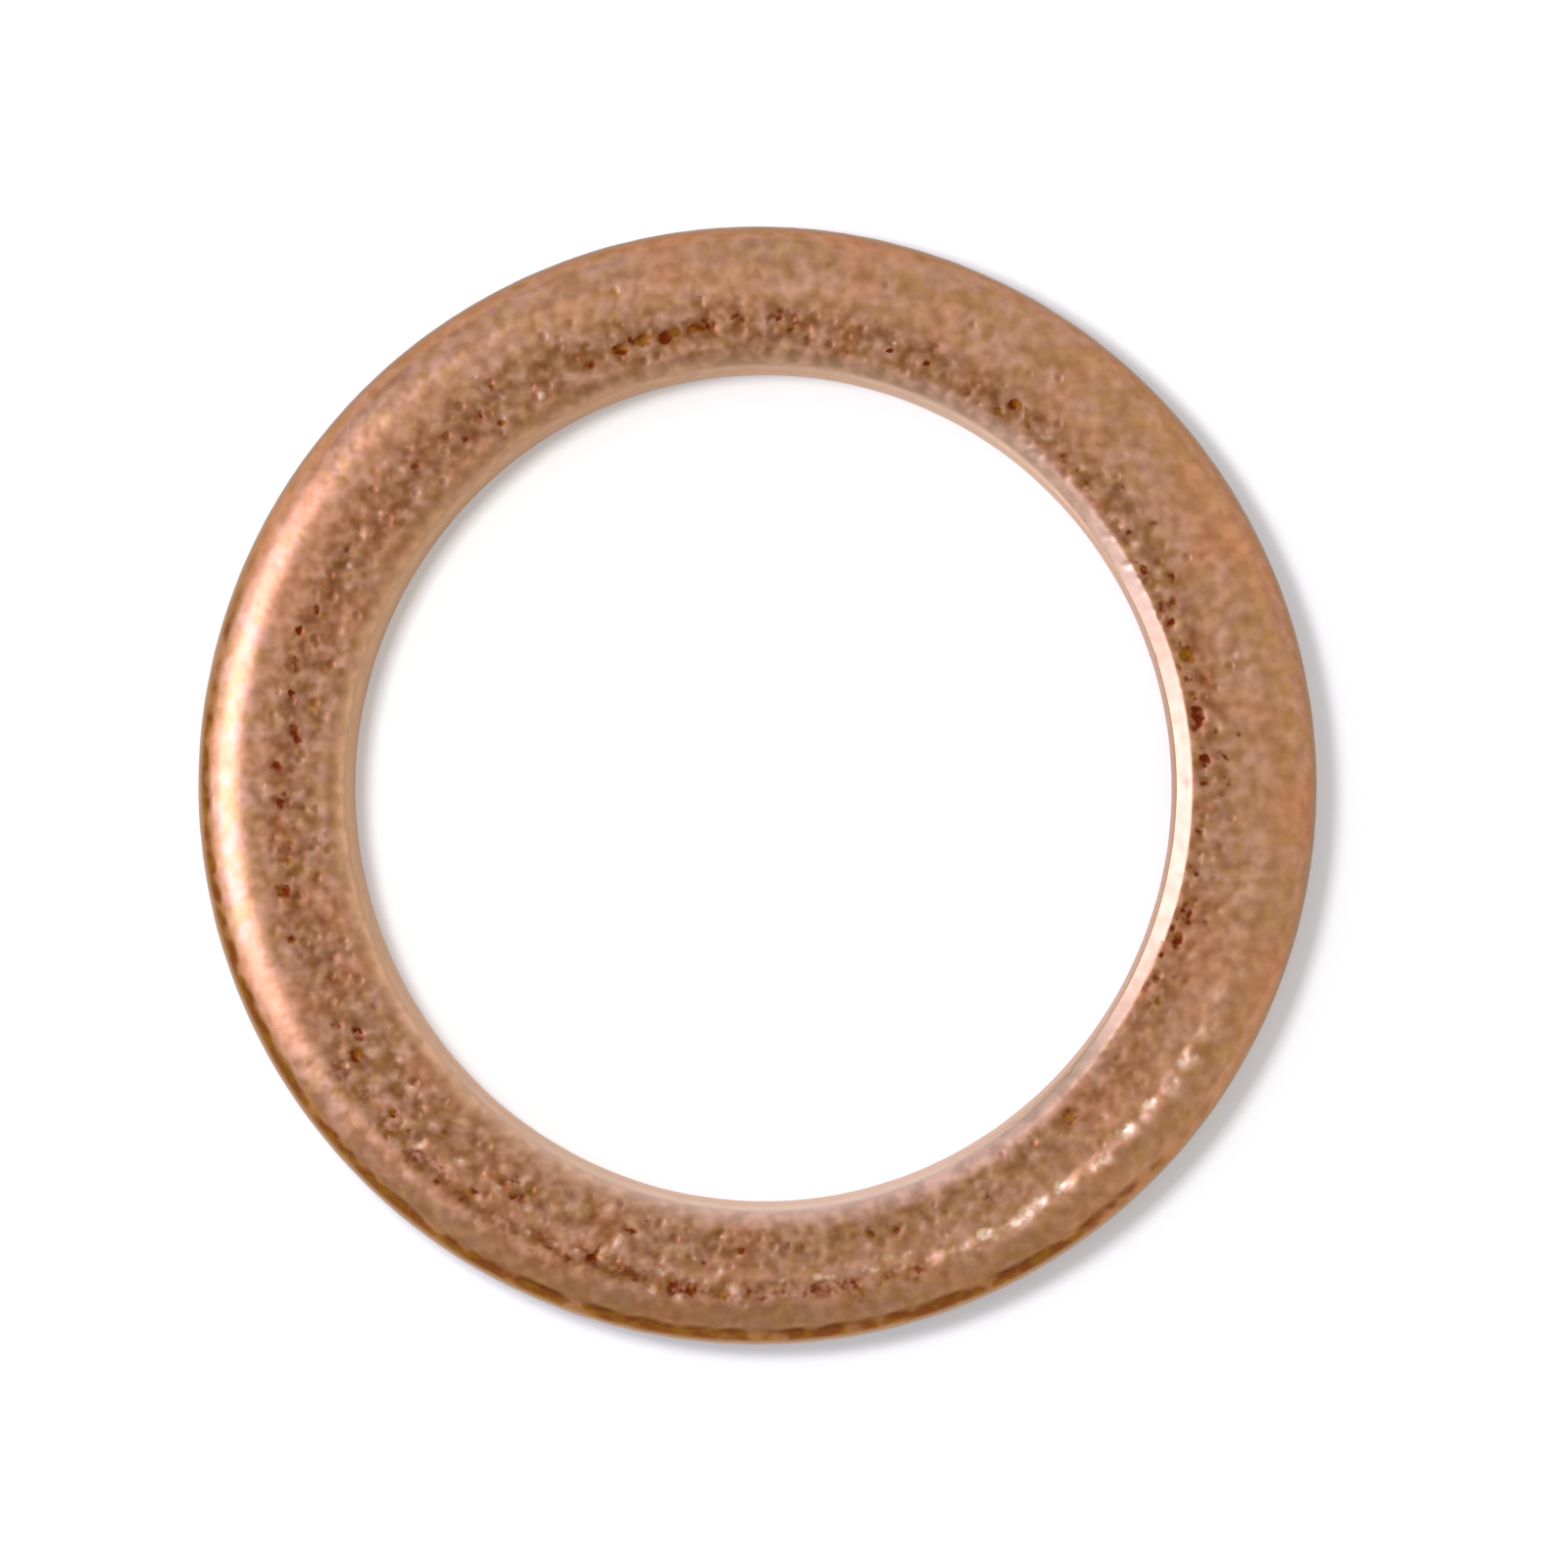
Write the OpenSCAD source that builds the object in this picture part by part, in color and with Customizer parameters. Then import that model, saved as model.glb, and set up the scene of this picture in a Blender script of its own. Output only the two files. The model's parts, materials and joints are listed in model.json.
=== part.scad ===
// Copper crush washer: one annealed copper sheet, folded into a hollow flat ring.
// The rim is a full half-round fold, two tight bends make the bore, and the edges of the sheet
// meet in a ring-shaped seam underneath. Tightening a plug on it flattens the hollow.
// Millimetres, +Z up. The ring lies on its seamed face, with its axis on Z.

/* [Ring] */
// Bore, which clears the thread of the plug
bore_d = 16.2; // [12:0.1:17.4]
// Outside diameter, over the rim fold
outer_d = 21.9; // [20.8:0.1:30]
// Height of the ring before it is crushed
height = 2; // [1.4:0.05:3]

/* [Sheet] */
// Thickness of the copper sheet
sheet_t = 0.4; // [0.2:0.05:0.6]
// Inside radius of the two bends at the bore
bore_bend_r = 0.1; // [0.05:0.05:0.3]

/* [Seam] */
// Flat width of the inner flange, from the bore bend to the seam
flange_w = 0.35; // [0.1:0.05:0.8]
// Gap between the two edges of the sheet
seam_gap = 0.12; // [0.05:0.01:0.3]
// Chamfer that breaks the two edges of the sheet at the seam
seam_break = 0.08; // [0.02:0.01:0.15]

/* [Hidden] */
$fn = 180;
copper = [0.72, 0.48, 0.36];

bore_r = bore_d / 2;
outer_r = outer_d / 2;
// Outside radii of the rim fold and of the bore bends
fold_r = height / 2;
corner_r = bore_bend_r + sheet_t;
// The flat of both faces runs from the bore bends to the rim fold
flat_start = bore_r + corner_r;
flat_end = outer_r - fold_r;
seam_start = flat_start + flange_w;
// How far the seam's cut runs past the sheet on each side
overcut = 0.05;

// Half section of the ring, drawn in by inset: 0 is the outside skin, sheet_t is the hollow
module skin(inset) {
    corner = corner_r - inset;
    // Rim fold
    translate([flat_end, fold_r])
        circle(fold_r - inset);
    // Between the two flat faces
    translate([flat_start, inset])
        square([flat_end - flat_start, height - 2 * inset]);
    // Behind the bore wall
    translate([bore_r + inset, corner_r])
        square([corner, height - 2 * corner_r]);
    // Bore bends
    for (z = [corner_r, height - corner_r])
        translate([flat_start, z])
            circle(corner);
}

// Open seam in the lower face, flared where the sheet's edges are broken
module seam() {
    translate([seam_start, -overcut])
        square([seam_gap, sheet_t + 2 * overcut]);
    flare = seam_break + overcut;
    translate([seam_start, -overcut])
        polygon([
            [-flare, 0],
            [0, flare],
            [seam_gap, flare],
            [seam_gap + flare, 0]
        ]);
}

module folded_section() {
    difference() {
        skin(0);
        skin(sheet_t);
        seam();
    }
}

module crush_washer() {
    color(copper)
        rotate_extrude()
            folded_section();
}

crush_washer();
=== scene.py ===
# %% [markdown]
# A copper crush washer, dressed in Blender.
# The real one starts as a disc of soft copper sheet. A press folds it into a hollow flat ring: the rim
# is one half-round fold, two tight bends make the bore, and the two edges of the sheet meet in a seam
# on the lower face. This lesson rebuilds that skin finely enough to carry the dents, pits and tarnish
# of a washer that has lain in a box with hundreds of others.
# First the measured solid is loaded. It is the frame that everything else is built on.

# %% Load the frame
import json
import math
import random

import bmesh
import bpy
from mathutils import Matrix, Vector, kdtree, noise


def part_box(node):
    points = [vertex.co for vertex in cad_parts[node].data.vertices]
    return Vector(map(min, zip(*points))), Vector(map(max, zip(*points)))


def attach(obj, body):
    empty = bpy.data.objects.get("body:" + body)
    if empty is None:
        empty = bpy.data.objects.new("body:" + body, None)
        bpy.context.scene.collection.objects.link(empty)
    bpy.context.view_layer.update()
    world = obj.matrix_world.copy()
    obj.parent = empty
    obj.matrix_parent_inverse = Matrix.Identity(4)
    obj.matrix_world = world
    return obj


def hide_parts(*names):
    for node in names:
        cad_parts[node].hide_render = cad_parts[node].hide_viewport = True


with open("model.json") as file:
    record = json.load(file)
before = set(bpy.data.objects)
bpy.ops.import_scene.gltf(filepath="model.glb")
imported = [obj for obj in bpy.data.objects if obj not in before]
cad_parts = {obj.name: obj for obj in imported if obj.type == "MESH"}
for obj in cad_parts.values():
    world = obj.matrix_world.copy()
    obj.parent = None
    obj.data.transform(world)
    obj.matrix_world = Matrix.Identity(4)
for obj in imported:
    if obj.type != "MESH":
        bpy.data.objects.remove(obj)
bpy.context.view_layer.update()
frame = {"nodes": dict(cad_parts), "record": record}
print("nodes in the frame:", sorted(frame["nodes"]))

# %% [markdown]
# Sizes come from the frame, so that the new skin can't drift away from the solid.
# The box gives the outside, and the record's bore gives the hole and the straight land inside it.
# Only what the frame can't tell is written here: the sheet's thickness and the seam.

# %% Sizes of the ring
MM = 0.001
low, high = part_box("crush_washer")
mounts = {mount["name"]: mount for mount in frame["record"]["mounts"]}
outer_r = (high.x - low.x) / 2
height = high.z - low.z
bore_r = mounts["bore"]["dims"]["r_mm"] * MM
bore_land = mounts["bore"]["dims"]["length_mm"] * MM
fold_r = height / 2
bend_r = (height - bore_land) / 2
flat_start = bore_r + bend_r
flat_end = outer_r - fold_r
sheet = 0.4 * MM
flange = 0.35 * MM
seam_gap = 0.12 * MM
lip_r = 0.08 * MM
seam_in = flat_start + flange
seam_out = seam_in + seam_gap
print(f"outside {2000 * outer_r:.2f} mm, bore {2000 * bore_r:.2f} mm, height {1000 * height:.2f} mm")
print(f"flat from {1000 * flat_start:.2f} to {1000 * flat_end:.2f} mm radius")

# %% [markdown]
# The section of the folded sheet is drawn like a line with a pen.
# Typing out a list of points would work, but it hides what each stretch is. Extruding one vertex draws
# a straight stretch, and spinning it about a centre draws a bend, so the drawing follows the fold.
# Each stretch says how many steps it has: many where the camera looks, few inside the hollow.

# %% Pen strokes for the section
def straight(bm, pen, run, rise, steps):
    """Draws a straight stretch from a vertex and returns its far end."""
    for _ in range(steps):
        pen = bmesh.ops.extrude_vert_indiv(bm, verts=[pen])["verts"][0]
        bmesh.ops.translate(bm, verts=[pen], vec=(run / steps, 0, rise / steps))
    return pen


def bend(bm, pen, centre_x, centre_z, degrees, steps):
    """Draws an arc about a centre and returns its far end. Plus turns the rim from below to above."""
    made = bmesh.ops.spin(
        bm,
        geom=[pen],
        cent=(centre_x, 0, centre_z),
        axis=(0, -1, 0),
        angle=math.radians(degrees),
        steps=steps,
    )
    return made["geom_last"][0]


# %% Draw the folded section
bm = bmesh.new()
skin_layer = bm.verts.layers.float.new("skin")
pen = bm.verts.new((seam_out + lip_r, 0, 0))
# Outside: lower face, rim fold, upper face, bore, inner flange
pen = straight(bm, pen, flat_end - seam_out - lip_r, 0, steps=6)
pen = bend(bm, pen, flat_end, fold_r, 90, steps=9)
pen = bend(bm, pen, flat_end, fold_r, 90, steps=18)
pen = straight(bm, pen, flat_start - flat_end, 0, steps=24)
pen = bend(bm, pen, flat_start, height - bend_r, 90, steps=14)
pen = straight(bm, pen, 0, -bore_land, steps=5)
pen = bend(bm, pen, flat_start, bend_r, 90, steps=6)
pen = straight(bm, pen, flange - lip_r, 0, steps=4)
outside_count = len(bm.verts)
# Through the seam and round the hollow, back to the first point
pen = bend(bm, pen, seam_in - lip_r, lip_r, 90, steps=2)
pen = straight(bm, pen, 0, sheet - lip_r, steps=1)
pen = straight(bm, pen, -flange, 0, steps=1)
pen = bend(bm, pen, flat_start, bend_r, -90, steps=2)
pen = straight(bm, pen, 0, bore_land, steps=1)
pen = bend(bm, pen, flat_start, height - bend_r, -90, steps=2)
pen = straight(bm, pen, flat_end - flat_start, 0, steps=1)
pen = bend(bm, pen, flat_end, fold_r, -180, steps=8)
pen = straight(bm, pen, seam_out - flat_end, 0, steps=1)
pen = straight(bm, pen, 0, lip_r - sheet, steps=1)
pen = bend(bm, pen, seam_out + lip_r, lip_r, 90, steps=2)
for number, vert in enumerate(bm.verts):
    vert[skin_layer] = 1 if number < outside_count else 0
TOUCH = 0.001 * MM
bmesh.ops.remove_doubles(bm, verts=bm.verts[:], dist=TOUCH)
print("section:", len(bm.verts), "points and", len(bm.edges), "lines,", outside_count, "of them outside")

# %% [markdown]
# One full turn of that section makes the ring.
# A Screw modifier could turn it as well, but the dents need real vertices to push, so the turn is made
# in the mesh. A single spin of many hundred steps is slow, because each step goes over the whole mesh.
# A short sector is spun first, and copies of it then go round the axis.

# %% Spin the section into the ring
SECTORS = 20
STEPS_PER_SECTOR = 44
bmesh.ops.spin(
    bm,
    geom=bm.verts[:] + bm.edges[:],
    cent=(0, 0, 0),
    axis=(0, 0, 1),
    angle=math.tau / SECTORS,
    steps=STEPS_PER_SECTOR,
)
bmesh.ops.spin(
    bm,
    geom=bm.verts[:] + bm.edges[:] + bm.faces[:],
    cent=(0, 0, 0),
    axis=(0, 0, 1),
    angle=math.tau * (SECTORS - 1) / SECTORS,
    steps=SECTORS - 1,
    use_duplicate=True,
)
bmesh.ops.remove_doubles(bm, verts=bm.verts[:], dist=TOUCH)
bmesh.ops.recalc_face_normals(bm, faces=bm.faces[:])
for face in bm.faces:
    face.smooth = True
bm.normal_update()
print("ring:", len(bm.verts), "vertices,", 2 * len(bm.faces), "triangles")
print("open edges:", sum(1 for edge in bm.edges if len(edge.link_faces) != 2))

# %% [markdown]
# Before it is worn, each point of the outside is told where on the fold it lies.
# The finish needs that later: bends are burnished by the press, flats are matt, and part of the rim
# carries painted shade. A value on each vertex carries it, worked out once from the slope of the clean
# fold.
# All the value layers are made before any vertex is kept in a list, because a new layer moves them.

# %% Tell bends from flats
rim_layer = bm.verts.layers.float.new("rim")
bore_layer = bm.verts.layers.float.new("bore")
oxide_shade_glint_layer = bm.verts.layers.float.new("oxide_shade_and_glint")
pitted_and_shaded_layer = bm.verts.layers.float.new("pitted_and_shaded")
bore_light_layer = bm.verts.layers.float.new("painted_bore_light")
bevelled_layer = bm.verts.layers.float.new("bevelled")
dark_edge_layer = bm.verts.layers.float.new("painted_dark_edge")
reflection_layer = bm.verts.layers.float.new("painted_reflection")
rim_shade_layer = bm.verts.layers.float.new("painted_rim_shade")
middle_r = (flat_start + flat_end) / 2
# A vertex whose skin value is above this is on the outside
ON_SKIN = 0.5
outside = [vert for vert in bm.verts if vert[skin_layer] > ON_SKIN]
rim_skin = [vert for vert in outside if vert.co.xy.length > middle_r]
bore_skin = [vert for vert in outside if vert.co.xy.length <= middle_r]
for layer, skin in ((rim_layer, rim_skin), (bore_layer, bore_skin)):
    for vert in skin:
        vert[layer] = math.sqrt(max(0, 1 - vert.normal.z ** 2))
print("outside skin:", len(rim_skin), "vertices towards the rim and", len(bore_skin), "towards the bore")

# %% [markdown]
# Wear is pushed into the mesh itself, because light breaks up on real dents in a way that a flat skin
# with a bumpy shader never shows from the side. These helpers measure where a vertex lies and how
# strongly a mark reaches it.

# %% Helpers for wear
def ease(value, start, end):
    """0 before start, 1 after end, and smooth between them."""
    share = min(1, max(0, (value - start) / (end - start)))
    return share * share * (3 - 2 * share)


def hump(value, middle, width):
    """1 at the middle, falling smoothly to 0 at that distance from it."""
    return 1 - ease(abs(value - middle), 0, width)


def lumps(place, length):
    """Smooth noise from about 0 to 1, with lumps of about that length."""
    return 0.5 + 0.5 * noise.noise(place / length)


def press(vert, depth):
    """Pushes a vertex into the copper."""
    vert.co -= vert.normal * depth


def angle_of(vert):
    """How far round the ring a vertex lies, in degrees."""
    return math.degrees(math.atan2(vert.co.y, vert.co.x))


def apart(first, second):
    """The smaller angle between two directions, in degrees."""
    return abs((first - second + 180) % 360 - 180)


def near(degrees, middle, reach, full=0):
    """1 round an angle, from full degrees away falling smoothly to 0 at the reach."""
    return 1 - ease(apart(degrees, middle), full, reach)


# %% [markdown]
# In front and on the left the rim's steep wall is painted dark brown: painted shade, which stands in for
# the shaded paper that the wall mirrors at its foot. It starts high up in front and lower down on the
# left. On the rest of the rim a lighter painted shade darkens it where it falls away. Painting that by
# hand would work too, but a slope and a few angles say it all, so each vertex of the rim works out its
# own share, from 0 to 1, for the finish to follow.

# %% Tarnish and dusk on the rim
# The angle of the painted dark edge's middle, and how far either way it is full and ends
DARK_EDGE_MIDDLE = 240
DARK_EDGE_FULL = 50
DARK_EDGE_REACH = 118
# The slope where the painted dark edge starts in front, and how much lower down it starts away from
# there
DARK_EDGE_START = 0.50
DARK_EDGE_LOWER = 0.07
DARK_EDGE_FRONT = 275
DARK_EDGE_FRONT_FULL = 20
DARK_EDGE_FRONT_REACH = 90
DARK_EDGE_BLEND = 0.26
# The slopes between which painted shade darkens the rest of the rim
RIM_SHADE_START = 0.45
RIM_SHADE_END = 0.85
# Painted shade: each vertex of the rim takes its share of the dark edge, and of the shade on the rest of
# the rim
for vert in rim_skin:
    degrees = angle_of(vert)
    lower = ease(apart(degrees, DARK_EDGE_FRONT), DARK_EDGE_FRONT_FULL, DARK_EDGE_FRONT_REACH)
    start = DARK_EDGE_START + DARK_EDGE_LOWER * lower
    dark_side = near(degrees, DARK_EDGE_MIDDLE, DARK_EDGE_REACH, DARK_EDGE_FULL)
    vert[dark_edge_layer] = dark_side * ease(vert[rim_layer], start, start + DARK_EDGE_BLEND)
    vert[rim_shade_layer] = (1 - dark_side) * ease(vert[rim_layer], RIM_SHADE_START, RIM_SHADE_END)
print("rim darkened round", DARK_EDGE_MIDDLE, "degrees")

# %% [markdown]
# The edge of the bore is painted pale, a painted reflection of the bright paper in the hole, brightest
# in front and at the far right. At the far left painted shade dims it, as the paper there lies in shade.
# On the right the thread of a plug wore the upper bend down to a narrow bevel, so the pale edge gives
# way to it there.

# %% Rubbed and pale edge of the bore
# Each stretch where the painted reflection on the bore is brightest: the angle of its middle, how far it
# reaches either way, and how strong it is
LIT_STRETCHES = ((285, 100, 1.0), (50, 62, 0.8))
# Where the painted pale edge starts and is full, inwards from the flat, and how much wider it is where
# brightest
PALE_START = 0.06 * MM
PALE_FULL = 0.42 * MM
PALE_WIDER = 0.155 * MM
# Where painted shade dims the pale edge, and how much
BORE_SHADE_MIDDLE = 137
BORE_SHADE_REACH = 50
BORE_SHADE = 0.4
# The angle of the bevel's middle, and how far either way it is full and ends
BEVEL_MIDDLE = 358
BEVEL_FULL = 25
BEVEL_REACH = 68


def bevel_share(degrees):
    """How far the bend is worn down to the bevel at an angle, from 0 to 1."""
    return near(degrees, BEVEL_MIDDLE, BEVEL_REACH, BEVEL_FULL)


# Painted reflection on the bore's edge, dimmed by painted shade at the far left
for vert in bore_skin:
    degrees = angle_of(vert)
    inwards = flat_start - vert.co.xy.length
    vert[bore_light_layer] = max(
        strength * near(degrees, middle, reach) for middle, reach, strength in LIT_STRETCHES
    )
    pale_start = PALE_START - PALE_WIDER * vert[bore_light_layer]
    unshaded = 1 - BORE_SHADE * near(degrees, BORE_SHADE_MIDDLE, BORE_SHADE_REACH)
    rounded = 1 - bevel_share(degrees) ** 2
    vert[reflection_layer] = ease(inwards, pale_start, PALE_FULL) * rounded * unshaded
print("bore rubbed in", len(LIT_STRETCHES), "stretches")

# %% [markdown]
# The bevel itself is moved in the mesh. A flat strip mirrors one spot of the room, where a round bend
# mirrors half of it, so no shader on a bend could draw the bevel's bright line. The bevel operator
# would cut it all round, and this one fades out, so the vertices of the bend are drawn towards a slope.

# %% Wear the bevel
# Where the bevel starts and ends, inwards from the flat
BEVEL_START = 0.19 * MM
BEVEL_END = 0.495 * MM
# It is widest at this angle, and starts later by so much away from it
BEVEL_WIDEST = 20
BEVEL_WIDE_FULL = 20
BEVEL_WIDE_REACH = 60
BEVEL_NARROWER = 0.05 * MM
# How far below the flat it starts, and how steep it is
BEVEL_SINK = 0.006 * MM
BEVEL_SLOPE = math.tan(math.radians(32))
for vert in bore_skin:
    inwards = flat_start - vert.co.xy.length
    if vert.co.z > fold_r and 0 < inwards < BEVEL_END:
        degrees = angle_of(vert)
        bevelled = bevel_share(degrees)
        narrow = ease(apart(degrees, BEVEL_WIDEST), BEVEL_WIDE_FULL, BEVEL_WIDE_REACH)
        bevel_start = BEVEL_START + BEVEL_NARROWER * narrow
        if inwards < bevel_start:
            vert[bore_layer] *= 1 - bevelled
        else:
            vert[bevelled_layer] = bevelled
        sink = BEVEL_SINK * min(1, inwards / bevel_start)
        bevel_z = height - sink - max(0, inwards - bevel_start) * BEVEL_SLOPE
        vert.co.z += (bevel_z - vert.co.z) * bevelled
print("bevel round", BEVEL_MIDDLE, "degrees, up to", round((BEVEL_END - BEVEL_START) / MM, 3), "mm wide")

# %% [markdown]
# The broadest faults come next: the bore was punched a little off centre and out of round, and the fold
# was never quite true. Slow noise presses the skin in by hundredths of a millimetre, and finer noise
# gives the flats the orange peel of annealed copper.

# %% Off-centre bore, waves and orange peel
RUNOUT = Vector((0.115, -0.05, 0)) * MM
BULGE = 0.04 * MM
OVAL = 0.05 * MM
WAVE_DEPTH = 0.012 * MM
WAVE_LENGTH = 2.4 * MM
RIPPLE_DEPTH = 0.008 * MM
RIPPLE_LENGTH = 0.6 * MM
PEEL_DEPTH = 0.005 * MM
PEEL_LENGTH = 0.26 * MM
# A slope below the first is flat, and above the second it is a bend
FLAT_SLOPE = 0.1
BENT_SLOPE = 0.5
for vert in bm.verts:
    share = 1 - ease(vert.co.xy.length, flat_start, flat_end)
    outward = Vector((vert.co.x, vert.co.y, 0)).normalized()
    squeeze = BULGE + OVAL * (outward.x ** 2 - outward.y ** 2)
    vert.co += (RUNOUT - outward * squeeze) * share
for vert in outside:
    flat = 1 - ease(max(vert[rim_layer], vert[bore_layer]), FLAT_SLOPE, BENT_SLOPE)
    depth = WAVE_DEPTH * lumps(vert.co, WAVE_LENGTH) + RIPPLE_DEPTH * lumps(vert.co, RIPPLE_LENGTH)
    press(vert, depth + PEEL_DEPTH * lumps(vert.co, PEEL_LENGTH) * flat)
print(f"bore off centre by {1000 * RUNOUT.length:.2f} mm, waves {1000 * WAVE_DEPTH:.3f} mm deep")

# %% [markdown]
# The seal face was pressed a little deeper than the rim, more so on the near side, so that it ends in a
# low step. One stretch of that step catches the light in a broken line, and the next lies in shade.

# %% The step round the seal face
STEP_DEPTH = 0.05 * MM
STEP_OUT = 9.92 * MM
STEP_IN = 9.70 * MM
# The share of that depth all round, and how far and how often the edge of the step wavers
STEP_ALL_ROUND = 0.05
STEP_WAVER = 0.16 * MM
STEP_WAVER_LENGTH = 0.5 * MM
# Each deeper stretch: the angle of its middle, how far it reaches either way, and how deep it is
STEP_STRETCHES = ((305, 50, 0.8), (240, 50, 0.6))
# The upper skin is all that faces up by more than this
FACES_UP = 0.15
upper = [vert for vert in outside if vert.normal.z > FACES_UP]
for vert in upper:
    degrees = angle_of(vert)
    deeper = sum(deep * near(degrees, middle, reach) for middle, reach, deep in STEP_STRETCHES)
    waver = STEP_WAVER * (lumps(vert.co, STEP_WAVER_LENGTH) - 0.5)
    inside = 1 - ease(vert.co.xy.length + waver, STEP_IN, STEP_OUT)
    vert.co.z -= STEP_DEPTH * (STEP_ALL_ROUND + deeper) * inside
print("upper skin:", len(upper), "vertices, sunk by up to", round(STEP_DEPTH / MM, 3), "mm")

# %% [markdown]
# Pits are small dents with dark oxide in them. A search tree over the upper skin finds the vertices
# under each pit, so that one function can make a pit, a nick or a scratch anywhere on it.

# %% A tool that dents the upper face
finder = kdtree.KDTree(len(upper))
for number, vert in enumerate(upper):
    finder.insert((vert.co.x, vert.co.y, 0), number)
finder.balance()
print("search tree over", len(upper), "vertices")


def on_ring(radius, degrees):
    """A point of the upper face, from its radius and its angle."""
    turn = math.radians(degrees)
    return Vector((math.cos(turn), math.sin(turn), 0)) * radius


def dent(radius, degrees, length, width, turn, depth, oxide_shade_and_glint):
    """An oval dent: its place, half length, half width, the way it points, depth and oxide.

    Oxide is above 0 for a dark pit, 0 for none and below 0 for a painted glint. Rows along the step also
    use oxide above 0 for painted shade. A depth below 0 raises a burr.
    """
    place = on_ring(radius, degrees)
    along = on_ring(1, turn)
    across = on_ring(1, turn + 90)
    for spot, number, _ in finder.find_range(place, max(length, width)):
        offset = spot - place
        reach = (offset.dot(along) / length) ** 2 + (offset.dot(across) / width) ** 2
        if reach < 1:
            vert = upper[number]
            press(vert, depth * (1 - reach) ** 2)
            if abs(oxide_shade_and_glint) * (1 - reach) > abs(vert[oxide_shade_glint_layer]):
                vert[oxide_shade_glint_layer] = oxide_shade_and_glint * (1 - reach)


# %% [markdown]
# The pits lie in a band along the inner half of the seal face, where the press bore hardest. The band is
# darkened partly by its pits and partly by painted shade, most on the far left. In front, an arm of
# painted shade runs along the step. Each vertex keeps how far inside the band it lies, and the finish
# uses that to darken the copper there.

# %% The pitted band
BAND_R = 8.98 * MM
BAND_SWAY = 0.17 * MM
BAND_WIDTH = 0.85 * MM
BAND_WIDTH_INSIDE = 1.2 * MM
# The band lies further out, and is wider by this share, towards this angle
BAND_TURN = 195
BAND_WIDER = 0.15
# It is darkest at this angle, with painted shade: how dark it is on average, and how much more or less
BAND_DARKEST = 150
BAND_DARK = 0.75
BAND_DARKER = 0.25
# An arm of painted shade along the step in front
ARM_MIDDLE = 250
ARM_REACH = 62
ARM_R = 9.80 * MM
ARM_WIDTH = 0.42 * MM
ARM_SHARE = 0.85


def band_side(degrees, turn=BAND_TURN):
    """1 towards the angle of the turn and -1 on the far side of the ring."""
    return math.cos(math.radians(degrees - turn))


for vert in outside:
    degrees = angle_of(vert)
    side = band_side(degrees)
    beyond = vert.co.xy.length - BAND_R - BAND_SWAY * side
    width = BAND_WIDTH * (1 + BAND_WIDER * side)
    share = hump(beyond, 0, width if beyond > 0 else BAND_WIDTH_INSIDE)
    share *= BAND_DARK + BAND_DARKER * band_side(degrees, BAND_DARKEST)
    # The arm is painted shade, and the band is partly pits and partly painted shade
    arm = near(degrees, ARM_MIDDLE, ARM_REACH) * hump(vert.co.xy.length, ARM_R, ARM_WIDTH)
    vert[pitted_and_shaded_layer] = max(share, ARM_SHARE * arm)
print(f"pitted band at {BAND_R / MM:.2f} mm radius, with an arm at {ARM_R / MM:.2f} mm")

# %% [markdown]
# Hundreds of pits can't be placed one by one. They are scattered by a seeded random generator, so every
# run gives the same washer. Stains are small and faint, and nicks are dents with a painted glint in
# them.

# %% Scatter the pits
chance = random.Random(16)
PITS = 90
STAINS = 330
NICKS = 120
BAND_SPREAD = 0.27 * MM
# How much longer than wide a dent is, and how deep it is for its size
LENGTHENED = (1.0, 1.6)
STEEPNESS = (0.06, 0.18)


# Oxides below 0 paint a glint in the dent instead of a pit
def scatter(count, spread, sizes, oxides_and_glints):
    """Drops dents at random into the band, with sizes and oxides between two limits each."""
    for _ in range(count):
        degrees = chance.uniform(0, 360)
        size = chance.uniform(*sizes)
        dent(
            radius=chance.gauss(BAND_R + BAND_SWAY * band_side(degrees), spread),
            degrees=degrees,
            length=size * chance.uniform(*LENGTHENED),
            width=size,
            turn=chance.uniform(0, 180),
            depth=size * chance.uniform(*STEEPNESS),
            oxide_shade_and_glint=chance.uniform(*oxides_and_glints),
        )


scatter(PITS, spread=BAND_SPREAD, sizes=(0.08 * MM, 0.15 * MM), oxides_and_glints=(0.6, 1.2))
scatter(STAINS, spread=1.1 * BAND_SPREAD, sizes=(0.05 * MM, 0.11 * MM), oxides_and_glints=(0.15, 0.5))
# Nicks: oxide below 0 paints a glint in them
scatter(NICKS, spread=1.3 * BAND_SPREAD, sizes=(0.08 * MM, 0.15 * MM), oxides_and_glints=(-0.65, -0.15))
print(PITS, "pits,", STAINS, "stains and", NICKS, "clean nicks scattered")

# %% [markdown]
# Some marks make this washer the one that it is. The deepest pits lie in short rows on the seal face.
# One function draws a row between two angles, and chance makes its dents uneven and puts each a little
# out of line, as on a real one.

# %% A row of marks
# How much a dent's length, its width for that length and its oxide or glint vary, and how far it is
# turned
ROW_LENGTHS = (0.6, 1.6)
ROW_WIDTHS = (0.6, 1.0)
ROW_OXIDE_AND_GLINT_SPREAD = (0.5, 1.2)
ROW_TURN = 30


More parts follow.
